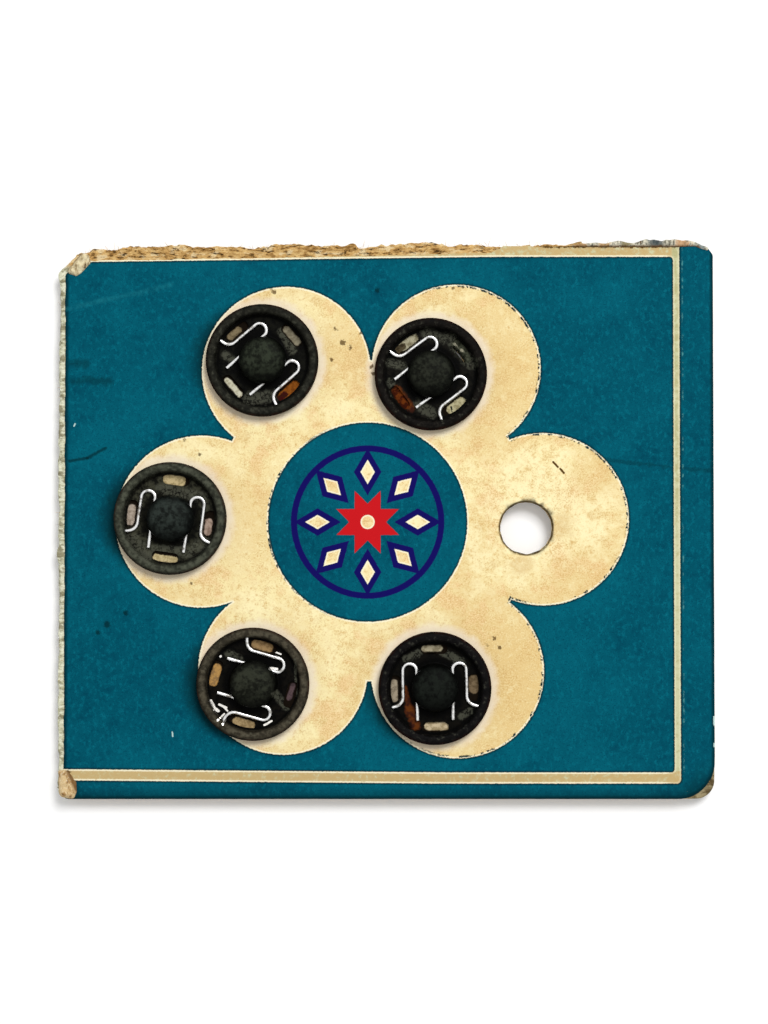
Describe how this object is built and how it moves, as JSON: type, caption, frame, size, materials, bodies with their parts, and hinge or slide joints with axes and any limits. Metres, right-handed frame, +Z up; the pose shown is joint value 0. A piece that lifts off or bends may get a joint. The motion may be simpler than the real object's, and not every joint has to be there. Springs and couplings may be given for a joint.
{
  "type": "card of snap fasteners",
  "caption": "Printed pasteboard card of black sew-on snap fasteners, each socket half on the face snapped through a punched hole to a ball half on the back; a hole at the right is empty.",
  "frame": {"origin": "on the resting plane under the backs of the ball halves, below the middle of the card", "axes": "+Z up and out of the printed face, +X along the card's width to the right, +Y towards its torn top edge"},
  "size_m": [0.0642, 0.054, 0.0038],
  "materials": {
    "pasteboard": "matte, aged cream pasteboard with stains and a torn edge",
    "teal_ink": "matte teal printing ink, finely mottled",
    "navy_ink": "matte navy printing ink",
    "red_ink": "matte red printing ink",
    "black_enamel": "worn satin black enamel on stamped sheet metal, with rust spots",
    "spring_wire": "bright drawn steel wire"
  },
  "bodies": {
    "root": {"card": "pasteboard", "print_field": "teal_ink", "print_margin": "teal_ink", "print_medallion": "teal_ink", "print_ornament_navy": "navy_ink", "print_ornament_red": "red_ink", "socket_1": "black_enamel", "socket_2": "black_enamel", "socket_3": "black_enamel", "socket_4": "black_enamel", "socket_5": "black_enamel", "spring_left_1": "spring_wire", "spring_right_1": "spring_wire", "spring_left_2": "spring_wire", "spring_right_2": "spring_wire", "spring_left_3": "spring_wire", "spring_right_3": "spring_wire", "spring_left_4": "spring_wire", "spring_right_4": "spring_wire", "spring_left_5": "spring_wire", "spring_right_5": "spring_wire", "ball_1": "black_enamel", "ball_2": "black_enamel", "ball_3": "black_enamel", "ball_4": "black_enamel", "ball_5": "black_enamel"}
  },
  "joints": []
}
